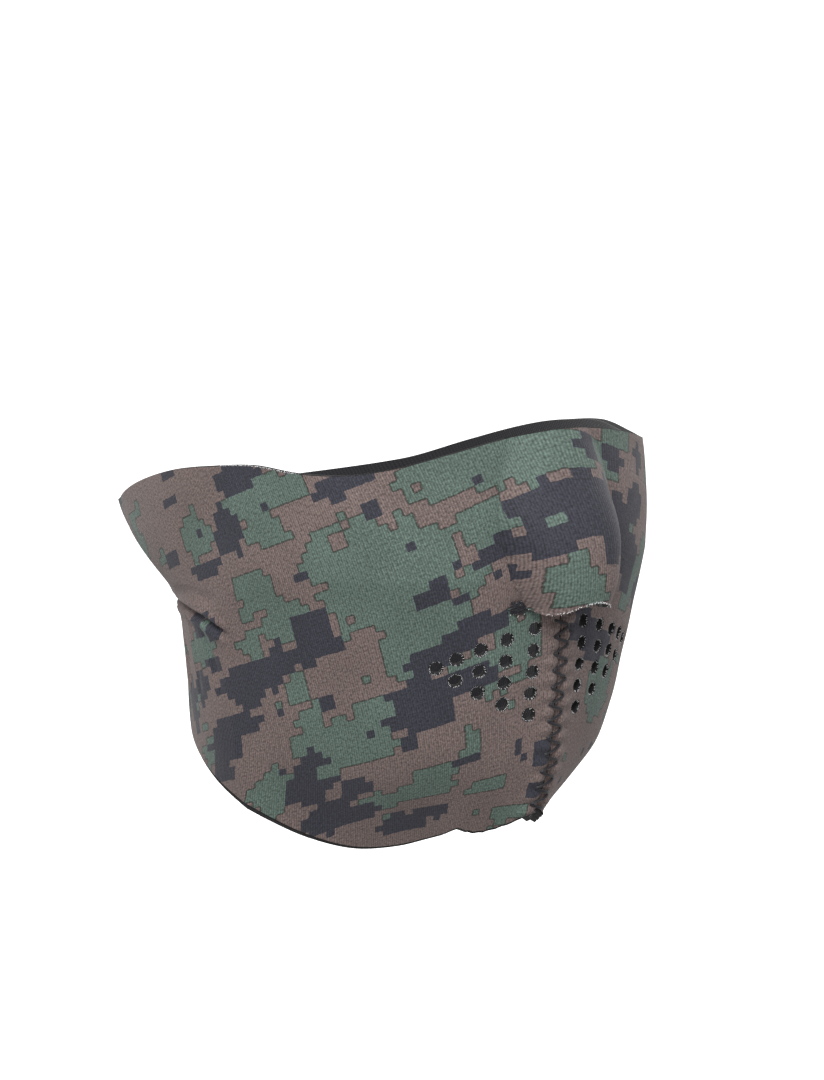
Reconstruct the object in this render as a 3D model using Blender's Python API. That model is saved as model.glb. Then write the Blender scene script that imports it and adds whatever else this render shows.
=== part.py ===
"""Neoprene half-face mask with a digital camouflage print, closed at the back by hook and loop.

Units are metres and degrees. +Z is up, the face looks along -Y, and the wearer's left is at +X.
The origin is the middle of the head between the ear canals.

The mask is one laminated sheet: a printed outer knit, a neoprene foam core and a black lining knit.
A horizontal slit under the nose and a sewn dart from the slit down to the chin give it its shape.
Every layer is a shell that follows one surface, head_radius(), at its own depth. The sheet is parted
where it bends in use: behind each jaw, and where the closure tab peels off the loop patch.
"""

import math

import bmesh
import bpy
from mathutils import Vector

# ---- the head-shaped surface through the middle of the laminate -------------------------------
# height, half width, reach to the front, reach to the back
STATIONS = (
    (0.014, 0.0765, 0.0840, 0.0990),
    (-0.005, 0.0770, 0.0880, 0.0985),
    (-0.020, 0.0772, 0.0900, 0.0970),
    (-0.046, 0.0745, 0.0910, 0.0850),
    (-0.075, 0.0695, 0.0890, 0.0745),
    (-0.100, 0.0652, 0.0850, 0.0670),
    (-0.118, 0.0610, 0.0775, 0.0640),
    (-0.134, 0.0590, 0.0690, 0.0620),
)
CHEEK_POWER = 2.35  # 2 is an ellipse; more is boxier, as cheeks are
# height, and the share of the radius that the dart draws in beside the chin's keel
KEEL = (
    (-0.035, 0.0),
    (-0.045, 0.018),
    (-0.064, 0.042),
    (-0.085, 0.062),
    (-0.100, 0.098),
    (-0.118, 0.215),
    (-0.134, 0.320),
)
KEEL_REACH = 80.0
KEEL_ROUND = 3.0
# the sheet turns in under the skull, and folds where it meets the neck
FOLD_DEPTH = 0.0125
FOLD_TOP, FOLD_CREASE = -0.028, -0.052
FOLD_FADE = 0.080
FOLD_START, FOLD_FULL = 86.0, 132.0
FOLD_END_RIGHT = (152.0, 174.0)
FOLD_END_LEFT = (119.0, 141.0)  # the closure's patches hold this side flatter

# ---- outline of the sheet: angle from the face's middle, height --------------------------------
TOP_EDGE = (
    (0, 0.0100),
    (7, 0.0096),
    (14, 0.0086),
    (25, 0.0053),
    (36, 0.0012),
    (46, -0.0012),
    (57, -0.0016),
    (70, -0.0006),
    (86, -0.0034),
    (95, -0.0056),
    (106, -0.0096),
    (118, -0.0150),
    (135, -0.0232),
    (160, -0.0290),
    (180, -0.0300),
)
NOTCH_ANGLE = 16.0
CHIN_EDGE = ((0, -0.1148), (5.5, -0.1205), (11, -0.1230), (NOTCH_ANGLE, -0.1213))
JAW_EDGE = (
    (NOTCH_ANGLE, -0.1213),
    (20, -0.1242),
    (32, -0.1285),
    (47, -0.1300),
    (64, -0.1264),
    (77, -0.1210),
    (90, -0.1142),
    (104, -0.1065),
    (122, -0.0980),
    (150, -0.0915),
    (180, -0.0880),
)

# ---- nose, slit and breath holes ---------------------------------------------------------------
NOSE = ((0.014, 0.0), (-0.005, 0.0080), (-0.023, 0.0165), (-0.036, 0.0170), (-0.046, 0.0150))
NOSE_HALF_WIDTH = 0.0146
NOSE_EXTRA_WIDTH = 0.0084
SLIT_Z = -0.0445
SLIT_GAP = 0.0012
SLIT_ANGLE = 9.2
FLAP_EDGE = ((0, -0.0425), (3.5, -0.0437), (7, -0.0465), (SLIT_ANGLE, SLIT_Z))
LIP_EDGE = ((0, -0.0470), (6, -0.0470), (SLIT_ANGLE, SLIT_Z - SLIT_GAP))
DART_HALF_ANGLE = 0.16
HOLE_RADIUS = 0.00225
HOLE_ROWS = 5  # 5 holes in the top row, 4 in the next, down to 1
HOLE_FIRST_ANGLE = 6.4
HOLE_ANGLE_STEP = 6.55
HOLE_CROWDING = 0.33
HOLE_FIRST_Z = -0.0521
HOLE_DROP_OUT = 0.0028  # a row falls this much from one hole to the next outwards
HOLE_DROP_DOWN = 0.00715
HOLE_SIDES = 8
PLUG_LENGTH = 0.008

# ---- laminate, straps and closure --------------------------------------------------------------
CORE = (-0.00070, 0.00070)
OUTER = (0.00100, 0.00145)
LINING = (-0.00145, -0.00100)
LAYER_GAP = 0.0003
LAMINATE = (
    ("outer_fabric", OUTER, "camo_fabric"),
    ("foam_core", CORE, "neoprene_core"),
    ("lining", LINING, "black_lining"),
)
SHARP_ANGLE = 40.0
EVEN_LENGTH = 1e-7  # diagonals this close in length count as equal, so that all layers are split alike
PANEL_ROWS = 6  # above the slit, and again below it
CHEEK_ANGLE, CHEEK_STEPS = 20.0, 12
NOSE_ANGLES = (-8.2, -7.0, -5.4, -3.6, -1.8)
HINGE_ANGLE = 98.0
HINGE_GAP = 0.3
TAB_ANGLE = 183.3  # past the back's middle, on the wearer's left
TAB_END = 217.5
TAB_TAPER = 0.004
LEFT_STRAP_END = 181.0
CORNER_ANGLE = 6.0  # the strap ends are rounded over this much
CORNER_RISE = 0.009
LIFT_START, LIFT_END = 134.0, 168.0
STEP_ANGLE = 6.0
CORNER_SHARE = 0.35
STRAP_ROWS, TAB_ROWS = 8, 6
RIGHT_STRAP_STEPS = 13
PATCH_STEPS, PATCH_ROWS = 6, 4
LOOP_PATCH_SPAN = (141.0, LEFT_STRAP_END - CORNER_ANGLE)
LOOP_THICKNESS = 0.0015
HOOK_PATCH_SPAN = (185.0, TAB_END - CORNER_ANGLE)
HOOK_THICKNESS = 0.0012
PATCH_MARGIN = 0.006
LOOP_DEPTHS = (OUTER[1] + LAYER_GAP, OUTER[1] + LAYER_GAP + LOOP_THICKNESS)
HOOK_DEPTHS = (LINING[0] - LAYER_GAP - HOOK_THICKNESS, LINING[0] - LAYER_GAP)
STRAP_LIFT = LOOP_DEPTHS[1] - HOOK_DEPTHS[0] + LAYER_GAP + 0.0001

# ---- threads -----------------------------------------------------------------------------------
THREAD_RADIUS = 0.00035
SEAM_STITCH = 0.0028
SEAM_HALF_WIDTH = 0.0020
INNER_SEAM_CLEARANCE = 0.0006
SEAM_TOP_INSET, SEAM_BOTTOM_INSET = 0.002, 0.003
TACK_SPAN = (SLIT_ANGLE + 0.3, SLIT_ANGLE + 3.4)
TACK_LIFT = 0.0008
TACK_HALF_HEIGHT = 0.0018
TACK_THICKNESS = 0.0007
STITCH_INSET_ANGLE = 1.3
STITCH_INSET = 0.0025
BOX_STEPS, BOX_RISES = 6, 5

# ---- hinges ------------------------------------------------------------------------------------
HINGE_CLEARANCE = 0.0002
BULGE_STEPS = 20
HINGE_EMPTY_SIZE = 0.02

MATERIALS = {
    "camo_fabric": ((0.16, 0.14, 0.11), 0.85),
    "neoprene_core": ((0.012, 0.012, 0.013), 0.75),
    "black_lining": ((0.02, 0.02, 0.022), 0.9),
    "thread": ((0.015, 0.016, 0.025), 0.6),
    "hook_tape": ((0.018, 0.018, 0.02), 0.5),
    "loop_tape": ((0.02, 0.02, 0.022), 0.95),
}


# ---- curves through a few points ---------------------------------------------------------------
def through(points, x):
    """The value at x of a smooth curve through (x, value) points, level with its ends outside them."""
    points = sorted(points)
    x = min(max(x, points[0][0]), points[-1][0])
    i = max(k for k in range(len(points) - 1) if points[k][0] <= x)

    def slope(k):
        before, after = points[max(k - 1, 0)], points[min(k + 1, len(points) - 1)]
        return (after[1] - before[1]) / (after[0] - before[0])

    (x0, y0), (x1, y1) = points[i], points[i + 1]
    span = x1 - x0
    t = (x - x0) / span
    return (
        (1 + 2 * t) * (1 - t) ** 2 * y0
        + t * (1 - t) ** 2 * span * slope(i)
        + t * t * (3 - 2 * t) * y1
        + t * t * (t - 1) * span * slope(i + 1)
    )


def smooth_step(t):
    t = min(max(t, 0.0), 1.0)
    return t * t * (3 - 2 * t)


def top_edge(angle):
    return through(TOP_EDGE, min(abs(angle), 180.0))


def bottom_edge(angle):
    angle = min(abs(angle), 180.0)
    return through(CHIN_EDGE if angle < NOTCH_ANGLE else JAW_EDGE, angle)


# ---- the surface -------------------------------------------------------------------------------
def keel(away, z):
    """Share of the radius that the dart takes off beside the chin's middle."""
    away = math.hypot(away, KEEL_ROUND) - KEEL_ROUND
    if away >= KEEL_REACH:
        return 0.0
    return through(KEEL, z) * math.sin(math.pi * (away / KEEL_REACH) ** 0.75)


def fold(angle, z):
    """How far the sheet turns in under the skull, behind the jaw."""
    away = abs(angle)
    level, gone = FOLD_END_RIGHT if angle < 0 else FOLD_END_LEFT
    side = smooth_step((away - FOLD_START) / (FOLD_FULL - FOLD_START))
    side *= smooth_step((gone - away) / (gone - level))
    if z > FOLD_CREASE:
        share = max((FOLD_TOP - z) / (FOLD_TOP - FOLD_CREASE), 0.0) ** 2
    else:
        share = max(1 - (FOLD_CREASE - z) / FOLD_FADE, 0.0)
    return FOLD_DEPTH * side * share


def head_radius(angle, z):
    width, front, back = (through([(s[0], s[k]) for s in STATIONS], z) for k in (1, 2, 3))
    angle = (angle + 180.0) % 360.0 - 180.0
    s, c = abs(math.sin(math.radians(angle))), math.cos(math.radians(angle))
    if c >= 0:
        radius = ((s / width) ** CHEEK_POWER + (c / front) ** CHEEK_POWER) ** (-1 / CHEEK_POWER)
    else:
        radius = 1 / math.hypot(s / width, c / back)
    return radius * (1 - keel(abs(angle), z)) - fold(angle, z)


def nose_reach(x, z):
    """How far the nose stands out of the face, above the slit."""
    rise = min(max((z - SLIT_Z) / (NOSE[0][0] - SLIT_Z), 0.0), 1.0)
    half_width = NOSE_HALF_WIDTH + NOSE_EXTRA_WIDTH * math.sin(math.pi * rise)
    t = min(abs(x) / half_width, 1.0)
    return through(NOSE, z) * (1 - t ** (4 - rise)) ** (1.2 + 0.3 * rise)


def surface(angle, z, with_nose=False):
    """The point of the laminate's middle at this angle and height. The wearer's left has positive angles."""
    turn = math.radians(angle)
    radius = head_radius(angle, z)
    x, y = radius * math.sin(turn), -radius * math.cos(turn)
    if with_nose and abs(angle) < 40.0:
        y -= nose_reach(x, z)
    return Vector((x, y, z))


def surface_normal(angle, z, with_nose=False):
    """The outward normal, found from two short steps along the surface."""
    turn, climb = 0.05, 0.00005
    along = surface(angle + turn, z, with_nose) - surface(angle - turn, z, with_nose)
    up = surface(angle, z + climb, with_nose) - surface(angle, z - climb, with_nose)
    return along.cross(up).normalized()


def lifted(angle, z, off):
    """A point standing off the surface, and the outward normal under it."""
    normal = surface_normal(angle, z)
    return surface(angle, z) + normal * off, normal


def strap_lift(angle):
    """The wearer's right strap rises to pass over the left strap and its loop patch."""
    return STRAP_LIFT * smooth_step((-angle - LIFT_START) / (LIFT_END - LIFT_START))


# ---- meshes ------------------------------------------------------------------------------------
def material(name, kind):
    """A piece's own material, coloured as its kind of cloth, foam, tape or thread."""
    colour, roughness = MATERIALS[kind]
    made = bpy.data.materials.new(f"{name}_{kind}")
    made.use_nodes = True
    shader = made.node_tree.nodes["Principled BSDF"]
    shader.inputs["Base Color"].default_value = (*colour, 1.0)
    shader.inputs["Roughness"].default_value = roughness
    shader.inputs["Metallic"].default_value = 0.0
    return made


def add_object(name, data, kind):
    data.materials.append(material(name, kind))
    obj = bpy.data.objects.new(name, data)
    bpy.context.scene.collection.objects.link(obj)
    return obj


def shell(name, grid, cells, depths, kind):
    """A closed shell between two depths. It fills these (i, j) cells of a grid of (point, outward normal)."""
    bm = bmesh.new()
    inner_depth, outer_depth = depths
    corners = {(i + di, j + dj) for i, j in cells for di in (0, 1) for dj in (0, 1)}
    outer, inner = {}, {}
    for i, j in sorted(corners):
        point, normal = grid[i][j]
        outer[i, j] = bm.verts.new(point + normal * outer_depth)
        inner[i, j] = bm.verts.new(point + normal * inner_depth)
    rims = {}
    for i, j in sorted(cells):
        ring = [(i, j), (i + 1, j), (i + 1, j + 1), (i, j + 1)]
        corner = [grid[a][b][0] for a, b in ring]
        turn = 0 if (corner[2] - corner[0]).length <= (corner[3] - corner[1]).length + EVEN_LENGTH else 1
        ring = ring[turn:] + ring[:turn]
        for half in ((ring[0], ring[1], ring[2]), (ring[0], ring[2], ring[3])):
            bm.faces.new([outer[k] for k in half])
            bm.faces.new([inner[k] for k in reversed(half)])
        for a, b in zip(ring, ring[1:] + ring[:1]):
            if (b, a) in rims:
                del rims[b, a]
            else:
                rims[a, b] = True
    for a, b in rims:
        bm.faces.new([outer[b], outer[a], inner[a], inner[b]])
    bmesh.ops.recalc_face_normals(bm, faces=bm.faces)
    mesh = bpy.data.meshes.new(name)
    bm.to_mesh(mesh)
    bm.free()
    mesh.shade_smooth()
    mesh.set_sharp_from_angle(angle=math.radians(SHARP_ANGLE))
    return add_object(name, mesh, kind)


def spread(start, end, count):
    return [start + (end - start) * k / count for k in range(count + 1)]


# ---- the face panel ----------------------------------------------------------------------------
def face_grid():
    """Grid of the face panel, and which of its cells are cloth: not the slit, nor the dart below it."""
    side = spread(-HINGE_ANGLE, -CHEEK_ANGLE, CHEEK_STEPS)
    half = side + [-NOTCH_ANGLE, -TACK_SPAN[1], -SLIT_ANGLE, *NOSE_ANGLES, -DART_HALF_ANGLE]
    angles = half + [-a for a in reversed(half)]
    rows = ["below"] * (PANEL_ROWS + 1) + ["above"] * (PANEL_ROWS + 1)
    grid = []
    for angle in angles:
        lower = spread(bottom_edge(angle), through(LIP_EDGE, abs(angle)), PANEL_ROWS)
        upper = spread(through(FLAP_EDGE, abs(angle)), top_edge(angle), PANEL_ROWS)
        column = []
        for row, z in zip(rows, lower + upper):
            nose_shows = row == "above"
            normal = surface_normal(0.0 if abs(angle) <= DART_HALF_ANGLE else angle, z, nose_shows)
            column.append((surface(angle, z, nose_shows), normal))
        grid.append(column)
    middle = len(half) - 1
    slit_row = rows.index("above") - 1
    cells = set()
    for i in range(len(angles) - 1):
        for j in range(len(rows) - 1):
            in_slit = j == slit_row and abs(angles[i] + angles[i + 1]) / 2 < SLIT_ANGLE
            in_dart = i == middle and j < slit_row
            if not in_slit and not in_dart:
                cells.add((i, j))
    return grid, cells


def hole_places():
    """(angle, height) of every breath hole: a triangle on each side of the dart."""
    for side in (-1, 1):
        for row in range(HOLE_ROWS):
            for k in range(HOLE_ROWS - row):
                angle = HOLE_FIRST_ANGLE + HOLE_ANGLE_STEP * k - HOLE_CROWDING * k * k
                yield side * angle, HOLE_FIRST_Z - HOLE_DROP_OUT * k - HOLE_DROP_DOWN * row


def hole_cutter():
    """All the breath holes as one set of plugs, each square to the sheet."""
    bm = bmesh.new()
    size = {"segments": HOLE_SIDES, "radius1": HOLE_RADIUS, "radius2": HOLE_RADIUS, "depth": PLUG_LENGTH}
    for angle, z in hole_places():
        point, normal = surface(angle, z), surface_normal(angle, z)
        turn = normal.to_track_quat("Z", "Y").to_matrix().to_4x4()
        turn.translation = point
        bmesh.ops.create_cone(bm, cap_ends=True, matrix=turn, **size)
    mesh = bpy.data.meshes.new("breath_hole_cutter")
    bm.to_mesh(mesh)
    bm.free()
    cutter = bpy.data.objects.new("breath_hole_cutter", mesh)
    bpy.context.scene.collection.objects.link(cutter)
    cutter.hide_render = True
    cutter.display_type = "WIRE"
    return cutter


def build_face():
    grid, cells = face_grid()
    cutter = hole_cutter()
    for name, depths, kind in LAMINATE:
        panel = shell(f"face_{name}", grid, cells, depths, kind)
        cut = panel.modifiers.new("breath_holes", "BOOLEAN")
        cut.operation = "DIFFERENCE"
        cut.solver = "EXACT"
        cut.object = cutter


# ---- the straps --------------------------------------------------------------------------------
def band_heights(angle, end):
    """Bottom and top of a strap here, rounded off towards its free end."""
    low, high = bottom_edge(angle), top_edge(angle)
    past_back = max(abs(angle) - 180.0, 0.0)
    taper = TAB_TAPER * smooth_step(past_back / (TAB_END - 180.0))
    into_corner = max(abs(angle) - (abs(end) - CORNER_ANGLE), 0.0) / CORNER_ANGLE
    round_off = CORNER_RISE * (1 - math.sqrt(max(1 - into_corner**2, 0.0)))
    return low + taper + round_off, high - taper - round_off


def band_grid(angles, rows, lift, free_end):
    """Grid of a strap over these angles. lift gives how far it stands off the surface."""
    grid = []
    for angle in angles:
        low, high = band_heights(angle, free_end)
        grid.append([lifted(angle, z, lift(angle)) for z in spread(low, high, rows)])
    return grid


def all_cells(grid):
    return {(i, j) for i in range(len(grid) - 1) for j in range(len(grid[0]) - 1)}


def build_band(prefix, grid):
    for name, depths, kind in LAMINATE:
        shell(f"{prefix}_{name}", grid, all_cells(grid), depths, kind)


def no_lift(angle):
    return 0.0


def towards_end(start, patch_span, end):
    """Steps up to the patch, the patch's own, then two through the rounded corner of the free end."""
    before = spread(start, patch_span[0], max(round((patch_span[0] - start) / STEP_ANGLE), 1))
    return before[:-1] + spread(*patch_span, PATCH_STEPS) + [end - CORNER_ANGLE * CORNER_SHARE, end]


def build_straps():
    """Angles run from low to high on both sides, so that every shell faces out."""
    left = towards_end(HINGE_ANGLE + HINGE_GAP, LOOP_PATCH_SPAN, LEFT_STRAP_END)
    build_band("left_strap", band_grid(left, STRAP_ROWS, no_lift, LEFT_STRAP_END))
    right = spread(-(TAB_ANGLE - HINGE_GAP), -(HINGE_ANGLE + HINGE_GAP), RIGHT_STRAP_STEPS)
    build_band("right_strap", band_grid(right, STRAP_ROWS, strap_lift, -TAB_END))
    tab = [-a for a in reversed(towards_end(TAB_ANGLE, HOOK_PATCH_SPAN, TAB_END))]
    build_band("closure_tab", band_grid(tab, TAB_ROWS, strap_lift, -TAB_END))


def patch_grid(span, lift, sign):
    angles = sorted(sign * a for a in spread(*span, PATCH_STEPS))
    grid = []
    for angle in angles:
        low = bottom_edge(180.0) + PATCH_MARGIN + TAB_TAPER
        high = top_edge(180.0) - PATCH_MARGIN - TAB_TAPER
        grid.append([lifted(angle, z, lift(angle)) for z in spread(low, high, PATCH_ROWS)])
    return grid


def build_closure():
    loop = patch_grid(LOOP_PATCH_SPAN, no_lift, 1)
    shell("loop_patch", loop, all_cells(loop), LOOP_DEPTHS, "loop_tape")
    hook = patch_grid(HOOK_PATCH_SPAN, strap_lift, -1)
    shell("hook_patch", hook, all_cells(hook), HOOK_DEPTHS, "hook_tape")


# ---- threads -----------------------------------------------------------------------------------
def thread(name, points, closed=False):
    curve = bpy.data.curves.new(name, "CURVE")
    curve.dimensions = "3D"
    curve.bevel_depth = THREAD_RADIUS
    curve.bevel_resolution = 0
    curve.use_fill_caps = not closed
    spline = curve.splines.new("POLY")
    spline.points.add(len(points) - 1)
    for place, point in zip(spline.points, points):
        place.co = (*point, 1.0)
    spline.use_cyclic_u = closed
    return add_object(name, curve, "thread")


def seam_points(depth):
    """A zigzag down the dart: beside it, on its ridge, beside it on the other side, and so on."""
    top, bottom = LIP_EDGE[0][1] - SEAM_TOP_INSET, bottom_edge(0.0) + SEAM_BOTTOM_INSET
    count = 2 * round((top - bottom) / SEAM_STITCH)
    points = []
    for k in range(count + 1):
        z = top + (bottom - top) * k / count
        beside = SEAM_HALF_WIDTH * (1, 0, -1, 0)[k % 4]
        points.append(lifted(math.degrees(beside / head_radius(0.0, z)), z, depth)[0])
    return points


def box_points(span, lift, sign, depth, margin):
    """A rectangle of stitching just inside a patch's outline."""
    start, end = span[0] + STITCH_INSET_ANGLE, span[1] - STITCH_INSET_ANGLE
    low = bottom_edge(180.0) + margin
    high = top_edge(180.0) - margin
    corners = [(a, low) for a in spread(start, end, BOX_STEPS)]
    corners += [(end, z) for z in spread(low, high, BOX_RISES)[1:]]
    corners += [(a, high) for a in spread(end, start, BOX_STEPS)[1:]]
    corners += [(start, z) for z in spread(high, low, BOX_RISES)[1:-1]]
    return [lifted(sign * angle, z, lift(sign * angle) + depth)[0] for angle, z in corners]


def build_threads():
    above = OUTER[1] + LAYER_GAP + THREAD_RADIUS
    below = LINING[0] - LAYER_GAP - THREAD_RADIUS
    thread("chin_seam_outer_thread", seam_points(above))
    thread("chin_seam_inner_thread", seam_points(below - INNER_SEAM_CLEARANCE))
    margin = PATCH_MARGIN + TAB_TAPER + STITCH_INSET
    thread("hook_patch_stitching", box_points(HOOK_PATCH_SPAN, strap_lift, -1, above, margin), closed=True)
    thread("loop_patch_stitching", box_points(LOOP_PATCH_SPAN, no_lift, 1, below, margin), closed=True)
    depths = (OUTER[1] + TACK_LIFT, OUTER[1] + TACK_LIFT + TACK_THICKNESS)
    for name, sign in (("slit_bar_tack_right", -1), ("slit_bar_tack_left", 1)):
        low, high = SLIT_Z - TACK_HALF_HEIGHT, SLIT_Z + TACK_HALF_HEIGHT
        grid = [
            [(surface(a, z, True), surface_normal(a, z, True)) for z in spread(low, high, 2)]
            for a in sorted(sign * a for a in TACK_SPAN)
        ]
        shell(name, grid, all_cells(grid), depths, "thread")


# ---- hinges ------------------------------------------------------------------------------------
def hinge_line(angle, off):
    """Bottom and top of a straight line up the cloth's outer face, moved out to clear its bulge."""
    low, high = (edge(angle) for edge in (bottom_edge, top_edge))
    ends = [lifted(angle, z, off)[0] for z in (low, high)]
    along = (ends[1] - ends[0]).normalized()
    normal = lifted(angle, (low + high) / 2, off)[1]
    normal = (normal - along * normal.dot(along)).normalized()
    bulge = max((lifted(angle, z, off)[0] - ends[0]).dot(normal) for z in spread(low, high, BULGE_STEPS))
    return [end + normal * (bulge + HINGE_CLEARANCE) for end in ends]


def add_hinge(name, angle, off, children):
    """An empty on the hinge's line, its Z axis up the line, with the moving pieces as its children."""
    bottom, top = hinge_line(angle, off)
    empty = bpy.data.objects.new(name, None)
    empty.empty_display_size = HINGE_EMPTY_SIZE
    bpy.context.scene.collection.objects.link(empty)
    matrix = (top - bottom).to_track_quat("Z", "Y").to_matrix().to_4x4()
    matrix.translation = (bottom + top) / 2
    empty.matrix_world = matrix
    for child in children:
        child.parent = empty
        child.matrix_parent_inverse = matrix.inverted()
    return empty


def build_hinges():
    def named(*starts):
        return [obj for obj in bpy.data.objects if obj.name.startswith(starts)]

    add_hinge("left_strap_hinge", HINGE_ANGLE, OUTER[1], named("left_strap_", "loop_patch"))
    add_hinge("right_strap_hinge", -HINGE_ANGLE, OUTER[1], named("right_strap_"))
    tab = named("closure_tab_", "hook_patch")
    add_hinge("closure_tab_hinge", -TAB_ANGLE, OUTER[1] + STRAP_LIFT, tab)


def main():
    for obj in list(bpy.data.objects):
        bpy.data.objects.remove(obj)
    build_face()
    build_straps()
    build_closure()
    build_threads()
    build_hinges()


main()
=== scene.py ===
"""The finished look of the neoprene half mask: fine cloth, print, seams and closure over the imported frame."""

import math

import bpy
import numpy as np
from mathutils import Matrix, Vector


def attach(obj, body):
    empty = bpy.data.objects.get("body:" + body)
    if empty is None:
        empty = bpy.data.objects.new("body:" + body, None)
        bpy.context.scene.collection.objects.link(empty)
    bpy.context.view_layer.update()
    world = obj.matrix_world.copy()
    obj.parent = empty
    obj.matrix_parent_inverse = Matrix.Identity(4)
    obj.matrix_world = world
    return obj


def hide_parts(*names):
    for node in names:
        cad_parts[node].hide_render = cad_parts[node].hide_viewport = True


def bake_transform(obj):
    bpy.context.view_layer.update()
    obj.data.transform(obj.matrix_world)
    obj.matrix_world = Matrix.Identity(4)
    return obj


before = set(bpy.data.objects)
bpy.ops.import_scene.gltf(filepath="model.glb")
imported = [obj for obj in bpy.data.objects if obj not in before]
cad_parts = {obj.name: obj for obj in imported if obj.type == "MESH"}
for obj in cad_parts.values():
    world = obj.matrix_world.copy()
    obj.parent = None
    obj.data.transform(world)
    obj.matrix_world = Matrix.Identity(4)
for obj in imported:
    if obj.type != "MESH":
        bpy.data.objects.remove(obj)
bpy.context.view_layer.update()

# ---- the mask's surface, in metres and degrees, as the frame has it ----
# Height, half width, reach to the front and reach to the back.
STATIONS = (
    (0.014, 0.0765, 0.0840, 0.0990),
    (-0.005, 0.0770, 0.0880, 0.0985),
    (-0.020, 0.0772, 0.0900, 0.0970),
    (-0.046, 0.0745, 0.0910, 0.0850),
    (-0.075, 0.0695, 0.0890, 0.0745),
    (-0.100, 0.0652, 0.0850, 0.0670),
    (-0.118, 0.0610, 0.0775, 0.0640),
    (-0.134, 0.0590, 0.0690, 0.0620),
)
CHEEK_POWER = 2.35
KEEL = (
    (-0.035, 0.0), (-0.045, 0.018), (-0.064, 0.042), (-0.085, 0.062), (-0.100, 0.098),
    (-0.118, 0.215), (-0.134, 0.320),
)
KEEL_REACH, KEEL_ROUND, KEEL_POWER = 80.0, 3.0, 0.75
FOLD_DEPTH = 0.0125
FOLD_TOP, FOLD_CREASE, FOLD_FADE = -0.028, -0.052, 0.080
FOLD_START, FOLD_FULL = 86.0, 132.0
FOLD_END_RIGHT, FOLD_END_LEFT = (152.0, 174.0), (119.0, 141.0)
TOP_EDGE = (
    (0, 0.0100), (7, 0.0096), (14, 0.0086), (25, 0.0053), (36, 0.0012), (46, -0.0012),
    (57, -0.0016), (70, -0.0006), (86, -0.0034), (95, -0.0056), (106, -0.0096),
    (118, -0.0150), (135, -0.0232), (160, -0.0290), (180, -0.0300),
)
NOTCH_ANGLE = 16.0
CHIN_EDGE = ((0, -0.1148), (5.5, -0.1205), (11, -0.1230), (NOTCH_ANGLE, -0.1213))
JAW_EDGE = (
    (NOTCH_ANGLE, -0.1213), (20, -0.1242), (32, -0.1285), (47, -0.1300), (64, -0.1264),
    (77, -0.1210), (90, -0.1142), (104, -0.1065), (122, -0.0980), (150, -0.0915),
    (180, -0.0880),
)
NOSE = ((0.014, 0.0), (-0.005, 0.0080), (-0.023, 0.0165), (-0.036, 0.0170), (-0.046, 0.0150))
NOSE_HALF_WIDTH, NOSE_EXTRA_WIDTH, NOSE_ANGLE = 0.0146, 0.0084, 40.0
SLIT_Z, SLIT_GAP, SLIT_ANGLE = -0.0445, 0.0012, 9.2
FLAP_EDGE = ((0, -0.0425), (3.5, -0.0437), (7, -0.0465), (SLIT_ANGLE, SLIT_Z))
LIP_EDGE = ((0, -0.0470), (6, -0.0470), (SLIT_ANGLE, SLIT_Z - SLIT_GAP))
HOLE_RADIUS = 0.00225
HOLE_ROWS = 5
HOLE_FIRST_ANGLE, HOLE_ANGLE_STEP, HOLE_CROWDING = 6.4, 6.55, 0.33
HOLE_FIRST_Z, HOLE_DROP_OUT, HOLE_DROP_DOWN = -0.0521, 0.0028, 0.00715
HINGE_ANGLE, TAB_ANGLE, TAB_END, LEFT_STRAP_END = 98.0, 183.3, 217.5, 181.0
TAB_TAPER, CORNER_ANGLE, CORNER_RISE = 0.004, 6.0, 0.009
LIFT_START, LIFT_END, STRAP_LIFT = 134.0, 168.0, 0.0066
LOOP_SPAN, HOOK_SPAN = (141.0, 175.0), (185.0, 211.5)

# ---- the laminate: print knit, foam, lining knit; and the closure's pads ----
OUTER = (0.00098, 0.00145)
CORE = (-0.00098, 0.00098)
LINING = (-0.00145, -0.00098)
PAD_LOW, PAD_HIGH = -0.0780, -0.0400
LOOP_BACKING, LOOP_TOP = (0.00150, 0.00215), 0.00315
HOOK_BACKING, HOOK_TIP = (-0.00210, -0.00150), -0.00290

# ---- how finely the meshes are cut, and their edges ----
CLOTH_RADIUS = 0.085
PITCH, FINE_PITCH, FINE_ANGLE = 0.0013, 0.0009, 34.0
LOWER_ROWS, UPPER_ROWS, BAND_ROWS, PAD_ROWS = 84, 58, 84, 34
SEAM_GAP_ANGLE = 0.03
CLOTH_TRIM, TOP_TRIM_SHARE = 0.0011, 0.2
CUT_EDGE_SHARE, CUT_EDGE_ANGLE, CUT_EDGE_SPREAD = 0.9, 84.0, 26.0
SCALLOP_DEPTH, SCALLOP_PITCH = 0.00035, 0.0034
PAD_RADIUS = 0.080

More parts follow.
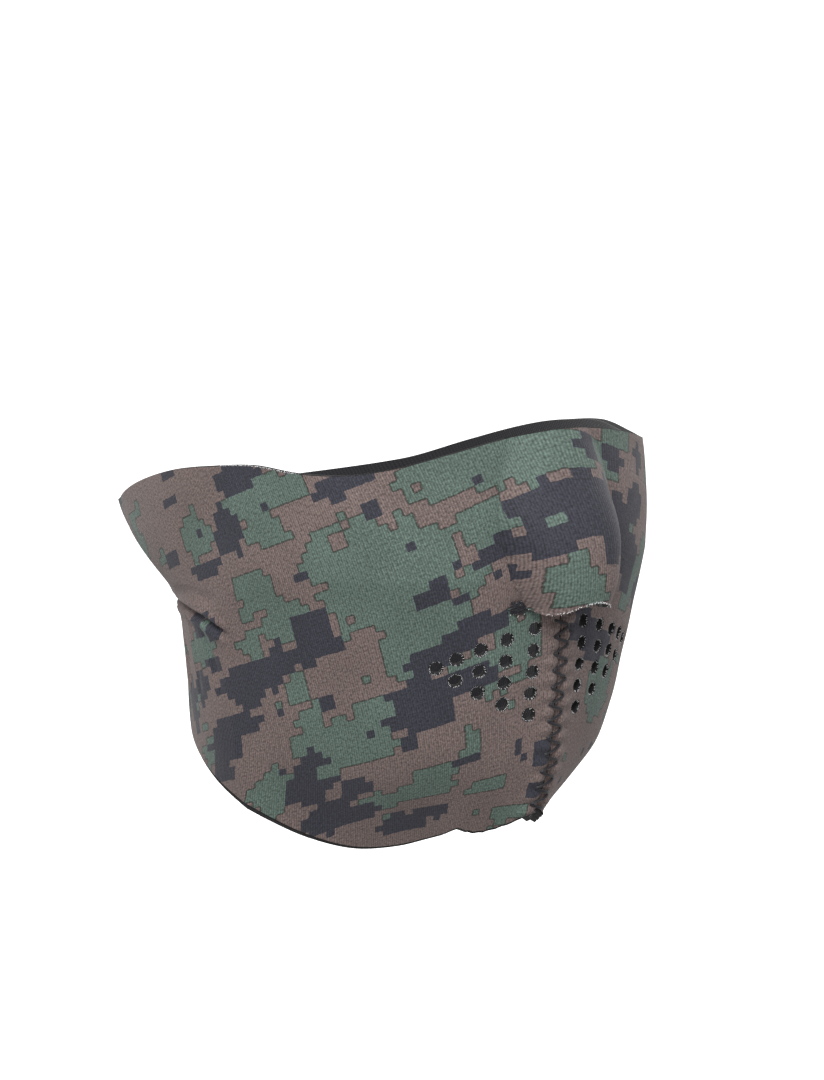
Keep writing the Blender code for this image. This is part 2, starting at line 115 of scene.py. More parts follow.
# ---- seam and details ----
STITCH_PERIOD, STITCH_REACH = 0.0056, 0.0029
SEAM_TOP, SEAM_BOTTOM = -0.0485, -0.1140
THREAD_RADIUS = 0.00026
PUFF_HEIGHT, PUFF_AWAY, PUFF_WIDTH = 0.00125, 0.0030, 0.0024
VALLEY_DEPTH, VALLEY_WIDTH, SEAM_RELIEF_ANGLE = 0.0013, 0.0010, 12
WAVE_HEIGHT = 0.00016
HOLE_DIMPLE, HOLE_DIMPLE_WIDTH = 0.00022, 0.0007
TACK_DIMPLE, TACK_DIMPLE_WIDTH = 0.0007, 0.0028
TACK_ANGLES, TACK_STITCHES, TACK_STRANDS = (9.3, 12.4), 26, 9
FLAP_FIBRES, TACK_FIBRES, HOLE_FIBRES, EDGE_FIBRES = 230, 44, 26, 110
FRAYED_EDGE = (-79, -57)
LOOP_PITCH, HOOK_PITCH, PAD_STITCH = 0.00105, 0.0016, 0.0030
CREASE_RADIUS, CREASE_END_ANGLE, CREASE_END_RISE = 0.070, 3.0, 0.006
CREASES = (  # (angle, height) from one end to the other, depth, half width
    (((-142, -0.0520), (-112, -0.0522), (-97, -0.0524), (-89, -0.0542), (-81, -0.0580)), 0.0021, 0.0012),
    (((-98, -0.0550), (-95, -0.0660), (-97, -0.0800)), 0.0010, 0.0014),
    (((-91, -0.0575), (-87, -0.0680), (-86, -0.0780)), 0.0006, 0.0013),
    (((-112, -0.0560), (-106, -0.0680), (-105, -0.0800)), 0.0009, 0.0016),
    (((-104, -0.0480), (-94, -0.0455), (-84, -0.0470)), 0.0007, 0.0020),
    (((142, -0.0520), (112, -0.0524), (97, -0.0540), (88, -0.0580)), 0.0016, 0.0013),
    (((112, -0.0560), (105, -0.0680), (104, -0.0790)), 0.0008, 0.0015),
    (((98, -0.0570), (95, -0.0680), (96, -0.0770)), 0.0006, 0.0014),
)


def through(points, x):
    """The value at x of a smooth curve through (x, value) points, level past its ends."""
    xs, ys = (np.array(column, float) for column in zip(*sorted(points)))
    k = np.arange(len(xs))
    before, after = np.maximum(k - 1, 0), np.minimum(k + 1, len(xs) - 1)
    slopes = (ys[after] - ys[before]) / (xs[after] - xs[before])
    x = np.clip(x, xs[0], xs[-1])
    i = np.clip(np.searchsorted(xs, x, side="right") - 1, 0, len(xs) - 2)
    span = xs[i + 1] - xs[i]
    t = (x - xs[i]) / span
    return (
        (1 + 2 * t) * (1 - t) ** 2 * ys[i]
        + t * (1 - t) ** 2 * span * slopes[i]
        + t * t * (3 - 2 * t) * ys[i + 1]
        + t * t * (t - 1) * span * slopes[i + 1]
    )


def smooth_step(t):
    t = np.clip(t, 0.0, 1.0)
    return t * t * (3 - 2 * t)


def bell(t):
    return np.exp(-(t**2))


def top_edge(angle):
    return through(TOP_EDGE, np.minimum(np.abs(angle), 180.0))


def bottom_edge(angle):
    away = np.minimum(np.abs(angle), 180.0)
    return np.where(away < NOTCH_ANGLE, through(CHIN_EDGE, away), through(JAW_EDGE, away))


def head_radius(angle, z):
    angle = (np.asarray(angle, float) + 180.0) % 360.0 - 180.0
    away = np.abs(angle)
    width, front, back = (through([(s[0], s[k]) for s in STATIONS], z) for k in (1, 2, 3))
    s, c = np.abs(np.sin(np.radians(angle))), np.cos(np.radians(angle))
    cheek = ((s / width) ** CHEEK_POWER + (np.abs(c) / front) ** CHEEK_POWER) ** (-1 / CHEEK_POWER)
    radius = np.where(c >= 0, cheek, 1 / np.hypot(s / width, c / back))
    out = np.minimum(np.hypot(away, KEEL_ROUND) - KEEL_ROUND, KEEL_REACH)
    keel = through(KEEL, z) * np.sin(np.pi * (out / KEEL_REACH) ** KEEL_POWER)
    level = np.where(angle < 0, FOLD_END_RIGHT[0], FOLD_END_LEFT[0])
    gone = np.where(angle < 0, FOLD_END_RIGHT[1], FOLD_END_LEFT[1])
    side = smooth_step((away - FOLD_START) / (FOLD_FULL - FOLD_START))
    side = side * smooth_step((gone - away) / (gone - level))
    above = np.maximum((FOLD_TOP - z) / (FOLD_TOP - FOLD_CREASE), 0.0) ** 2
    below = np.maximum(1 - (FOLD_CREASE - z) / FOLD_FADE, 0.0)
    return radius * (1 - keel) - FOLD_DEPTH * side * np.where(z > FOLD_CREASE, above, below)


def nose_reach(x, z):
    rise = np.clip((z - SLIT_Z) / (NOSE[0][0] - SLIT_Z), 0.0, 1.0)
    half_width = NOSE_HALF_WIDTH + NOSE_EXTRA_WIDTH * np.sin(np.pi * rise)
    t = np.minimum(np.abs(x) / half_width, 1.0)
    return through(NOSE, z) * (1 - t ** (4 - rise)) ** (1.2 + 0.3 * rise)


def surface(angle, z, upper):
    """Points of the laminate's middle. upper is 1 above the slit, where the nose shows, and 0 below it."""
    turn = np.radians(angle)
    radius = head_radius(angle, z)
    x, y = radius * np.sin(turn), -radius * np.cos(turn)
    y = y - np.where((upper > 0) & (np.abs(angle) < NOSE_ANGLE), nose_reach(x, z), 0.0)
    return np.stack([x, y, z + 0 * x], -1)


def unit(v):
    return v / np.maximum(np.linalg.norm(v, axis=-1, keepdims=True), 1e-12)


def normals(angle, z, upper):
    turn, climb = 0.12, 0.0001
    along = surface(angle + turn, z, upper) - surface(angle - turn, z, upper)
    up = surface(angle, z + climb, upper) - surface(angle, z - climb, upper)
    return unit(np.cross(along, up))


def strap_lift(angle):
    return STRAP_LIFT * smooth_step((-angle - LIFT_START) / (LIFT_END - LIFT_START))


# ---- the flat sheet: where each point of the surface lies on the cut cloth ----
TABLE_STEP, TABLE_RISE = 0.5, 0.001
TABLE_ANGLES = np.arange(0.0, 222.1, TABLE_STEP)
TABLE_Z = np.arange(-0.137, 0.0171, TABLE_RISE)
DART_REACH = 65.0
BAND_ROW = int(np.argmin(np.abs(TABLE_Z + 0.055)))
BAND_START, BAND_BLEND = 95.0, 50.0
GRAIN = math.radians(22.0)
GRAIN_ROUND, LEAN_ROUND = 0.018, 0.045


def flat_tables():
    """Lengths along the cloth, leaving out the nose: round the head from the middle, and up from the slit.

    The third table is the cloth that the nose takes up above the slit. The dart takes the same amount out
    below it, so from DART_REACH on the two agree."""
    angle, z = np.meshgrid(-TABLE_ANGLES, TABLE_Z, indexing="ij")
    slit, far = int(np.argmin(np.abs(TABLE_Z - SLIT_Z))), int(DART_REACH / TABLE_STEP)
    flat, raised = (surface(angle, z, upper + 0 * z) for upper in (0, 1))
    along, over_nose = (
        np.cumsum(np.linalg.norm(np.diff(points, axis=0, prepend=points[:1]), axis=-1), 0)
        for points in (flat, raised)
    )
    up = np.cumsum(np.linalg.norm(np.diff(flat, axis=1, prepend=flat[:, :1]), axis=-1), 1)
    taken = (over_nose - along)[:, slit:].mean(1)
    return along, up - up[:, slit : slit + 1], np.minimum(taken, taken[far])


FLAT = flat_tables()


def look_up(which, angle, z, upper):
    """A length along the cloth, 0 round the head or 1 up, at places below or above the slit.

    Round the back, where the sheet is a plain band, every height is given the length along its middle."""
    i = np.clip(np.abs(angle) / TABLE_STEP, 0, len(TABLE_ANGLES) - 1.001)
    j = np.clip((z - TABLE_Z[0]) / TABLE_RISE, 0, len(TABLE_Z) - 1.001)
    a, b = i.astype(int), j.astype(int)
    s, t = i - a, j - b
    near = FLAT[which][a, b] * (1 - t) + FLAT[which][a, b + 1] * t
    far = FLAT[which][a + 1, b] * (1 - t) + FLAT[which][a + 1, b + 1] * t
    length = near * (1 - s) + far * s
    if which == 0:
        band = FLAT[0][a, BAND_ROW] * (1 - s) + FLAT[0][a + 1, BAND_ROW] * s
        length = length + (band - length) * smooth_step((np.abs(angle) - BAND_START) / BAND_BLEND)
        length = length + np.where(upper > 0, FLAT[2][a] * (1 - s) + FLAT[2][a + 1] * s, FLAT[2][-1])
    return length


def on_cloth(angle, z, upper):
    """Place on the printed cloth, in metres. The print's rows droop from the nose to both sides."""
    angle, z = np.broadcast_arrays(np.asarray(angle, float), np.asarray(z, float))
    u, v = np.sign(angle) * look_up(0, angle, z, upper), look_up(1, angle, z, upper)
    reach = np.hypot(u, GRAIN_ROUND)
    p = u * math.cos(GRAIN) - v * (u / np.hypot(u, LEAN_ROUND)) * math.sin(GRAIN)
    q = v * math.cos(GRAIN) + (reach - GRAIN_ROUND) * math.sin(GRAIN)
    return np.stack([p, q], -1)


# ---- relief of the cloth ----
def hole_places():
    for side in (-1, 1):
        for row in range(HOLE_ROWS):
            for k in range(HOLE_ROWS - row):
                angle = HOLE_FIRST_ANGLE + HOLE_ANGLE_STEP * k - HOLE_CROWDING * k * k
                yield side * angle, HOLE_FIRST_Z - HOLE_DROP_OUT * k - HOLE_DROP_DOWN * row


HOLES = list(hole_places())


def distance_to_hole(angle, z, hole):
    """Offset on the sheet from a hole's middle: round the head, and up."""
    radius = float(head_radius(hole[0], hole[1]))
    return np.radians(angle - hole[0]) * radius, z - hole[1]


def distance_to_line(angle, z, line):
    """Distance on the sheet to a line through (angle, height) points."""
    best = np.full(np.shape(angle), 1.0)
    metres = math.radians(1) * CREASE_RADIUS
    for (a0, z0), (a1, z1) in zip(line, line[1:]):
        ax, bx = a0 * metres, a1 * metres
        x = angle * metres
        t = ((x - ax) * (bx - ax) + (z - z0) * (z1 - z0)) / ((bx - ax) ** 2 + (z1 - z0) ** 2)
        t = np.clip(t, 0, 1)
        best = np.minimum(best, np.hypot(x - ax - t * (bx - ax), z - z0 - t * (z1 - z0)))
    return best


def ends_of_line(angle, z, line):
    """1 near a line and 0 past its ends."""
    low, high = sorted((line[0][0], line[-1][0]))
    bottom, top = sorted((line[0][1], line[-1][1]))
    a, r = CREASE_END_ANGLE, CREASE_END_RISE
    return (
        smooth_step((angle - low + a) / (2 * a))
        * smooth_step((high + a - angle) / (2 * a))
        * smooth_step((z - bottom + r) / r)
        * smooth_step((top + r - z) / r)
    )


def relief(angle, z, upper):
    """How far the cloth stands out of its smooth surface."""
    angle, z = np.broadcast_arrays(np.asarray(angle, float), np.asarray(z, float))
    x = np.radians(angle) * CLOTH_RADIUS
    height = WAVE_HEIGHT * np.sin(angle * 0.21 + 90 * z) * np.sin(z * 210 + angle * 0.06)
    below = (upper <= 0) & (np.abs(angle) < SEAM_RELIEF_ANGLE)
    turns = (SEAM_TOP - z) / STITCH_PERIOD
    fade = smooth_step((SEAM_TOP + 0.001 - z) / 0.002)
    side = np.where(x > 0, 0.25, 0.75)
    puff = 0.5 + 0.5 * np.cos(2 * np.pi * (turns - side))
    shape = PUFF_HEIGHT * puff * bell((np.abs(x) - PUFF_AWAY) / PUFF_WIDTH)
    shape = shape - VALLEY_DEPTH * bell(x / VALLEY_WIDTH)
    height = height + np.where(below, shape * fade, 0.0)
    for hole in HOLES:
        du, dv = distance_to_hole(angle, z, hole)
        away = np.hypot(du, dv)
        height = height - HOLE_DIMPLE * bell((away - HOLE_RADIUS) / HOLE_DIMPLE_WIDTH)
    for line, depth, half_width in CREASES:
        away = distance_to_line(angle, z, line)
        fold = bell(away / half_width) - 0.45 * bell((away - 2.2 * half_width) / (1.2 * half_width))
        height = height - depth * fold * ends_of_line(angle, z, line)
    for sign in (-1, 1):
        du, dv = np.radians(angle - sign * (SLIT_ANGLE + 0.6)) * 0.09, z - SLIT_Z
        height = height - TACK_DIMPLE * bell(np.hypot(du, dv) / TACK_DIMPLE_WIDTH)
    return height


# ---- meshes ----
def mesh_piece(name, points, faces, materials, looks=None, uv=None, smooth_angle=40):
    """A mesh object. looks gives each face's place in materials, and uv each point's place on the cloth."""
    mesh = bpy.data.meshes.new(name)
    mesh.from_pydata(np.asarray(points).tolist(), [], [list(map(int, f)) for f in faces])
    for material in materials:
        mesh.materials.append(MATERIALS[material])
    if looks is not None:
        mesh.polygons.foreach_set("material_index", np.asarray(looks, np.int32))
    if uv is not None:
        layer = mesh.uv_layers.new(name="cloth")
        loops = np.empty(len(mesh.loops), np.int32)
        mesh.loops.foreach_get("vertex_index", loops)
        layer.data.foreach_set("uv", np.asarray(uv, np.float32)[loops].ravel())
    mesh.update()
    mesh.shade_smooth()
    mesh.set_sharp_from_angle(angle=math.radians(smooth_angle))
    obj = bpy.data.objects.new(name, mesh)
    bpy.context.scene.collection.objects.link(obj)
    return obj


def touched(cells):
    """The grid's points that a set of its cells uses."""
    points = np.zeros((cells.shape[0] + 1, cells.shape[1] + 1), bool)
    for i in (0, 1):
        for j in (0, 1):
            points[i : cells.shape[0] + i, j : cells.shape[1] + j] |= cells
    return points


def sheet_piece(name, grid, depths, materials, lift=0.0):
    """A closed sheet between two depths over a grid. materials: its outer side, inner side and cut edge."""
    angle, z, upper, cells = grid
    rise = lift + relief(angle, z, upper)
    points, normal = surface(angle, z, upper), normals(angle, z, upper)
    used = touched(cells)
    count = int(used.sum())
    index = np.full(used.shape, -1)
    index[used] = np.arange(count)
    outside = (points + normal * (rise + depths[1])[..., None])[used]
    inside = (points + normal * (rise + depths[0])[..., None])[used]
    corners = (index[:-1, :-1], index[1:, :-1], index[1:, 1:], index[:-1, 1:])
    quads = np.stack(corners, -1)[cells]
    edges = np.concatenate([quads[:, [k, (k + 1) % 4]] for k in range(4)])
    key = edges[:, 0] * count + edges[:, 1]
    rim = edges[~np.isin(key, edges[:, 1] * count + edges[:, 0])]
    cut = np.stack([rim[:, 1], rim[:, 0], rim[:, 0] + count, rim[:, 1] + count], -1)
    looks = np.repeat([0, 1, 2], [len(quads), len(quads), len(cut)])
    uv = on_cloth(angle, z, upper)[used]
    faces = np.concatenate([quads, quads[:, ::-1] + count, cut])
    both = np.concatenate([outside, inside])
    piece = mesh_piece(name, both, faces, materials, looks, np.concatenate([uv, uv]))
    side = both[quads]
    area = np.linalg.norm(np.cross(side[:, 2] - side[:, 0], side[:, 3] - side[:, 1]), axis=1).sum() / 2
    return piece, float(area)


def steps(start, end, pitch):
    """Angles from start to end, about pitch apart on the cloth."""
    count = max(int(round(abs(math.radians(end - start)) * CLOTH_RADIUS / pitch)), 1)
    return list(np.linspace(start, end, count + 1))


def chin_scallop(angle):
    """The chin's edge is drawn up a little by each stitch."""
    along = np.radians(np.abs(angle)) * CLOTH_RADIUS
    return SCALLOP_DEPTH * np.abs(np.sin(np.pi * along / SCALLOP_PITCH)) * (np.abs(angle) < NOTCH_ANGLE - 3)


def edge_share(angle):
    """How much of the foam's cut edge shows below the cloth: most of it under the cheeks."""
    return 1 + CUT_EDGE_SHARE * bell((np.abs(angle) - CUT_EDGE_ANGLE) / CUT_EDGE_SPREAD)


def punch(angle, z, cells, radius):
    """Takes the breathing holes out of a grid and draws the points at their rims onto circles."""
    middle_angle = (angle[:-1, :-1] + angle[1:, 1:] + angle[:-1, 1:] + angle[1:, :-1]) / 4
    middle_z = (z[:-1, :-1] + z[1:, 1:] + z[:-1, 1:] + z[1:, :-1]) / 4
    for hole in HOLES:
        inside = np.hypot(*distance_to_hole(middle_angle, middle_z, hole)) < radius
        cells &= ~inside
        rim = touched(inside) & touched(~inside)
        du, dv = distance_to_hole(angle[rim], z[rim], hole)
        push = radius / np.maximum(np.hypot(du, dv), 1e-6)
        angle[rim] = hole[0] + np.degrees(du * push / float(head_radius(*hole)))
        z[rim] = hole[1] + dv * push


def face_grid(trim=0.0, hole_radius=HOLE_RADIUS):
    """Angles and heights of the face panel's grid, which side of the slit each point is on, and its cells."""
    half = steps(-HINGE_ANGLE, -FINE_ANGLE, PITCH)[:-1] + steps(-FINE_ANGLE, -SLIT_ANGLE, FINE_PITCH)[:-1]
    half += steps(-SLIT_ANGLE, -SEAM_GAP_ANGLE, FINE_PITCH)
    angles = np.array(half + [-a for a in reversed(half)])
    low = bottom_edge(angles) + chin_scallop(angles) + trim * edge_share(angles)
    high = top_edge(angles) - trim * TOP_TRIM_SHARE
    lip, flap = through(LIP_EDGE, np.abs(angles)), through(FLAP_EDGE, np.abs(angles))
    t = np.linspace(0, 1, LOWER_ROWS + 1)
    lower = low[:, None] + (lip - low)[:, None] * t
    t = np.linspace(0, 1, UPPER_ROWS + 1)
    higher = flap[:, None] + (high - flap)[:, None] * t
    z = np.concatenate([lower, higher], 1)
    angle = np.repeat(angles[:, None], z.shape[1], 1)
    upper = np.concatenate([np.zeros_like(lower), np.ones_like(higher)], 1)
    cells = np.ones((len(angles) - 1, z.shape[1] - 1), bool)
    cells[np.abs(angles[1:] + angles[:-1]) / 2 < SLIT_ANGLE, LOWER_ROWS] = False
    cells[len(half) - 1, :LOWER_ROWS] = False
    punch(angle, z, cells, hole_radius)
    return angle, z, upper, cells


def band_grid(start, end, trim=0.0):
    """Angles and heights of a strap's or the tab's grid, rounded off at its free end."""
    angles = np.array(steps(start, end, PITCH))
    away = np.abs(angles)
    taken = TAB_TAPER * smooth_step((away - 180.0) / (TAB_END - 180.0))
    if abs(end) != TAB_ANGLE:
        corner = np.clip((away - (abs(end) - CORNER_ANGLE)) / CORNER_ANGLE, 0, 1)
        taken = taken + CORNER_RISE * (1 - np.sqrt(1 - corner**2))
    low = bottom_edge(angles) + taken + trim * edge_share(angles)
    high = top_edge(angles) - taken - trim * TOP_TRIM_SHARE
    z = low[:, None] + (high - low)[:, None] * np.linspace(0, 1, BAND_ROWS + 1)
    angle = np.repeat(angles[:, None], BAND_ROWS + 1, 1)
    if start < 0 or end < 0:
        angle, z = angle[::-1], z[::-1]
    return angle, z, np.zeros_like(z), np.ones((len(angles) - 1, BAND_ROWS), bool)


def cords(runs, radius, sides=5):
    """Points and faces of closed round cords, one along each run of points."""
    points, faces, base = [], [], 0
    turn = np.arange(sides) * 2 * np.pi / sides
    for run in runs:
        run = np.asarray(run, float)
        ahead = unit(np.gradient(run, axis=0))
        side = unit(np.cross(ahead, (0.31, 0.17, 0.93)))
        other = np.cross(ahead, side)
        ring = side[:, None] * np.cos(turn)[:, None] + other[:, None] * np.sin(turn)[:, None]
        points.append((run[:, None] + ring * radius).reshape(-1, 3))
        for i in range(len(run) - 1):
            for k in range(sides):
                a, b = base + i * sides + k, base + i * sides + (k + 1) % sides
                faces.append((a, b, b + sides, a + sides))
        faces.append([base + k for k in reversed(range(sides))])
        faces.append([base + (len(run) - 1) * sides + k for k in range(sides)])
        base += len(run) * sides
    return np.concatenate(points), faces


def cord_piece(name, runs, radius, material, sides=5):
    points, faces = cords(runs, radius, sides)
    return mesh_piece(name, points, faces, [material], smooth_angle=60)


def on_sheet(angle, z, depth, upper=0.0, lift=0.0, follow=1.0):
    """Points at a depth from the sheet's middle. follow is how far they go with the cloth's relief."""
    angle, z = np.broadcast_arrays(np.asarray(angle, float), np.asarray(z, float))
    upper = np.zeros(angle.shape) + upper
    rise = relief(angle, z, upper) * follow + lift + depth
    return surface(angle, z, upper) + normals(angle, z, upper) * rise[..., None]


# ---- materials ----
def linear(red, green, blue):
    """A colour's screen values, 0 to 255, as the light that a material gives back."""
    values = [v / 255 for v in (red, green, blue)]
    return tuple(v / 12.92 if v <= 0.04045 else ((v + 0.055) / 1.055) ** 2.4 for v in values) + (1.0,)


def node(tree, kind, inputs=(), **settings):
    made = tree.nodes.new("ShaderNode" + kind)
    for key, value in settings.items():
        setattr(made, key, value)
    for socket, value in dict(inputs).items():
        if isinstance(value, bpy.types.NodeSocket):
            tree.links.new(value, made.inputs[socket])
        else:
            made.inputs[socket].default_value = value
    return made


def calc(tree, operation, *values):
    return node(tree, "Math", enumerate(values), operation=operation).outputs[0]


def calc_vector(tree, operation, *values):
    made = node(tree, "VectorMath", enumerate(values), operation=operation)
    return made.outputs[1 if operation == "DOT_PRODUCT" else 0]


def scaled(tree, vector, factor):
    return node(tree, "VectorMath", {0: vector, 3: factor}, operation="SCALE").outputs[0]


def noise(tree, vector, size, detail=2.0, dimensions="3D"):
    """Soft noise with features about size metres across, from 0 to 1."""
    inputs = {"Vector": vector, "Scale": 1 / size, "Detail": detail}
    return node(tree, "TexNoise", inputs, noise_dimensions=dimensions).outputs[0]


def spread(tree, value, low, high):
    """A 0 to 1 value as low to high."""
    return calc(tree, "MULTIPLY_ADD", value, high - low, low)


def blended(tree, share, first, second):
    return node(tree, "Mix", {0: share, 6: first, 7: second}, data_type="RGBA").outputs[2]


def wave(tree, value, period):
    """A wave along value, from 0 to 1."""
    turned = calc(tree, "SINE", calc(tree, "MULTIPLY", value, 2 * math.pi / period))
    return spread(tree, turned, 0.5, 1.0)


def material(name, roughness, sheen=0.0, sheen_roughness=0.5, specular=0.5):
    made = bpy.data.materials.new(name)
    made.use_nodes = True
    shader = made.node_tree.nodes["Principled BSDF"]
    shader.inputs["Roughness"].default_value = roughness
    shader.inputs["Sheen Weight"].default_value = sheen
    shader.inputs["Sheen Roughness"].default_value = sheen_roughness
    shader.inputs["Specular IOR Level"].default_value = specular
    MATERIALS[name] = made
    return made.node_tree, shader


def bump(tree, shader, height, depth):
    made = node(tree, "Bump", {"Height": height, "Distance": depth, "Strength": 1.0})
    tree.links.new(made.outputs[0], shader.inputs["Normal"])


def cloth_place(tree):
    return node(tree, "UVMap", uv_map="cloth").outputs[0]


def nearest_patch(tree, place, patches):
    """Least squared distance to the patches, each one measured in its own half sizes."""
    least = None
    for angle, height, half_wide, half_high in patches:
        p, q = on_cloth(angle, height / 1000, height / 1000 > SLIT_Z)
        wide, high = 1000 / half_wide, 1000 / half_high
        away = calc_vector(tree, "MULTIPLY_ADD", place, (wide, high, 0), (-p * wide, -q * high, 0))
        square = calc_vector(tree, "DOT_PRODUCT", away, away)
        least = square if least is None else calc(tree, "MINIMUM", least, square)
    return least


def print_colour_group():
    """Which of the print's inks a cell has: 0 brown, 1 green, 2 black."""
    tree = bpy.data.node_groups.new("print_ink", "ShaderNodeTree")
    tree.interface.new_socket("Place", in_out="INPUT", socket_type="NodeSocketVector")
    tree.interface.new_socket("Ink", in_out="OUTPUT", socket_type="NodeSocketFloat")
    start, end = tree.nodes.new("NodeGroupInput"), tree.nodes.new("NodeGroupOutput")
    cell = calc_vector(tree, "FLOOR", calc_vector(tree, "DIVIDE", start.outputs[0], (CELL,) * 3))
    centre = calc_vector(tree, "MULTIPLY_ADD", cell, (CELL,) * 3, (CELL / 2, CELL / 2, 0))
    p = node(tree, "SeparateXYZ", {0: centre}).outputs[0]
    side, front = LAID_OUT
    past_front = node(tree, "MapRange", {0: p, 1: front, 2: front + LAID_OUT_BLEND}).outputs[0]
    past_side = node(tree, "MapRange", {0: p, 1: side, 2: side - LAID_OUT_BLEND}).outputs[0]
    laid_out = calc(tree, "SUBTRACT", 1.0, calc(tree, "MAXIMUM", past_front, past_side))
    stretched = calc_vector(tree, "MULTIPLY", centre, (FREE_STRETCH, 1.0, 0.0))
    found = []
    for patches, shift, level in ((BLACK_PATCHES, 0.0, BLACK_LEVEL), (GREEN_PATCHES, 0.31, GREEN_LEVEL)):
        moved = calc_vector(tree, "ADD", centre, (shift, -shift, 0.0))
        ragged = spread(tree, noise(tree, moved, RAGGED_SIZE, 2.0, "2D"), -RAGGED, RAGGED)
        stray = node(tree, "TexWhiteNoise", {"Vector": moved}, noise_dimensions="2D").outputs[0]
        uneven = calc(tree, "ADD", ragged, spread(tree, stray, -STRAY, STRAY))
        free = noise(tree, calc_vector(tree, "ADD", stretched, (shift, shift, 0.0)), FREE_SIZE, 1.5, "2D")
        drawn = calc(tree, "MULTIPLY_ADD", calc(tree, "SUBTRACT", level, free), FREE_SLOPE, 1.0)
        drawn = calc(tree, "MULTIPLY_ADD", laid_out, KEEP_OUT, drawn)
        small = noise(tree, calc_vector(tree, "ADD", centre, (-shift, 0.5, 0.0)), SMALL_SIZE, 1.0, "2D")
        small = calc(tree, "MULTIPLY_ADD", calc(tree, "SUBTRACT", SMALL_LEVEL, small), FREE_SLOPE, 1.0)
        drawn = calc(tree, "MINIMUM", drawn, small)
        least = calc(tree, "MINIMUM", nearest_patch(tree, centre, patches), drawn)
        found.append(calc(tree, "LESS_THAN", calc(tree, "ADD", least, uneven), 1.0))
    ink = calc(tree, "MAXIMUM", calc(tree, "MULTIPLY", found[0], 2.0), found[1])
    tree.links.new(ink, end.inputs[0])
    return tree


def printed_cloth():
    """Brushed knit with a print of square cells in three inks. Green meets brown at a thin dark outline."""
    tree, shader = material("print_cloth", 0.7, sheen=0.10, sheen_roughness=0.45, specular=0.25)
    flat = cloth_place(tree)
    inputs = {"Vector": flat, "Scale": 1 / WAVER_SIZE}
    waver = node(tree, "TexNoise", inputs, noise_dimensions="2D").outputs[1]
    waver = calc_vector(tree, "SUBTRACT", waver, (0.5, 0.5, 0.5))
    place = calc_vector(tree, "MULTIPLY_ADD", waver, (WAVER, WAVER, 0.0), flat)
    inside = calc_vector(tree, "FRACTION", calc_vector(tree, "DIVIDE", place, (CELL,) * 3))
    inside = calc_vector(tree, "SUBTRACT", inside, (0.5, 0.5, 0.5))
    across, up = node(tree, "SeparateXYZ", {0: inside}).outputs[:2]
    sideways = calc(tree, "GREATER_THAN", calc(tree, "ABSOLUTE", across), calc(tree, "ABSOLUTE", up))
    step_across = calc(tree, "MULTIPLY", calc(tree, "SIGN", across), sideways)
    step_up = calc(tree, "MULTIPLY", calc(tree, "SIGN", up), calc(tree, "SUBTRACT", 1.0, sideways))
    towards = node(tree, "CombineXYZ", {0: step_across, 1: step_up}).outputs[0]
    beyond = calc_vector(tree, "MULTIPLY_ADD", towards, (OUTLINE,) * 3, place)
    group = print_colour_group()
    ink, other = (node(tree, "Group", {0: at}, node_tree=group).outputs[0] for at in (place, beyond))
    differs = calc(tree, "GREATER_THAN", calc(tree, "ABSOLUTE", calc(tree, "SUBTRACT", ink, other)), 0.5)
    light = calc(tree, "LESS_THAN", calc(tree, "MAXIMUM", ink, other), 1.5)
    outline = calc(tree, "MULTIPLY", differs, light)
    colour = blended(tree, calc(tree, "GREATER_THAN", ink, 0.5), BROWN, GREEN)
    colour = blended(tree, calc(tree, "GREATER_THAN", ink, 1.5), colour, BLACK)
    p, q = node(tree, "SeparateXYZ", {0: flat}).outputs[:2]
    wales = wave(tree, p, WALE)
    courses = wave(tree, q, COURSE)
    knit = calc(tree, "MULTIPLY", spread(tree, courses, 0.55, 1.0), wales)
    dye = spread(tree, noise(tree, flat, DYE_SIZE, 3.0, "2D"), 0.80, 1.20)
    speck = spread(tree, noise(tree, flat, SPECK_SIZE, 2.0, "2D"), 0.10, 1.90)
    shade = calc(tree, "MULTIPLY", calc(tree, "MULTIPLY", dye, speck), spread(tree, wales, 0.78, 1.18))
    shade = calc(tree, "MULTIPLY", shade, spread(tree, outline, 1.0, 0.42))
    tree.links.new(scaled(tree, colour, shade), shader.inputs["Base Color"])
    tree.links.new(spread(tree, noise(tree, flat, 0.004, 2.0, "2D"), 0.58, 0.82), shader.inputs["Roughness"])
    nap = noise(tree, flat, NAP_SIZE, 2.0, "2D")
    bump(tree, shader, calc(tree, "ADD", knit, spread(tree, nap, 0.0, 1.1)), KNIT_DEPTH)


def plain_cloth(name, colour, light, wale, depth, sheen):
    """Knit or woven cloth in one colour, with its ribs in the bump."""
    tree, shader = material(name, 0.85, sheen=sheen, sheen_roughness=0.5, specular=0.25)
    flat = cloth_place(tree)
    p, q = node(tree, "SeparateXYZ", {0: flat}).outputs[:2]
    knit = calc(tree, "MULTIPLY", wave(tree, p, wale), spread(tree, wave(tree, q, wale * 0.8), 0.4, 1.0))
    lint = noise(tree, flat, 0.0009, 3.0, "2D")
    share = calc(tree, "MULTIPLY", knit, spread(tree, lint, 0.1, 1.2))
    tree.links.new(blended(tree, share, linear(*colour), linear(*light)), shader.inputs["Base Color"])
    tree.links.new(spread(tree, lint, 0.7, 1.0), shader.inputs["Roughness"])
    bump(tree, shader, calc(tree, "ADD", knit, lint), depth)


